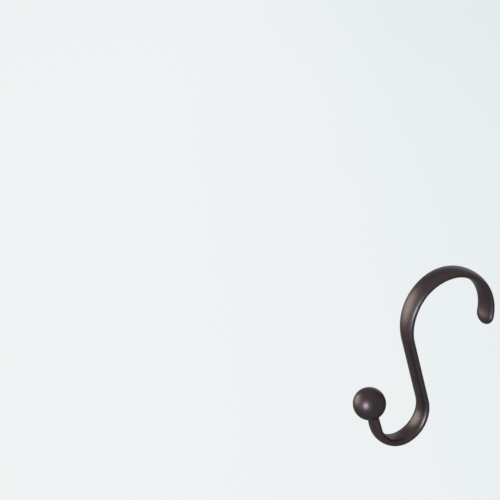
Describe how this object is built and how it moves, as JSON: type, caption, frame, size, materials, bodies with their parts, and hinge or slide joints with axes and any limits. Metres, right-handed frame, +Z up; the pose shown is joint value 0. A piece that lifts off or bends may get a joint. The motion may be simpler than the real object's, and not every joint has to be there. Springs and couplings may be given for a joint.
{
  "type": "shower curtain hook",
  "caption": "S-shaped hook with a ball tip that hangs a shower curtain by its eyelet from a rod.",
  "frame": {"origin": "middle of the seat, the spot of the upper bow's inner face that rests on the top of the rod", "axes": "+X along the rod, +Y behind the rod, +Z up, with the hook in the plane X = 0 as it hangs"},
  "size_m": [0.0126, 0.0603, 0.0691],
  "materials": {
    "bronze": "satin dark bronze"
  },
  "bodies": {
    "root": {"hook": "bronze"}
  },
  "joints": []
}
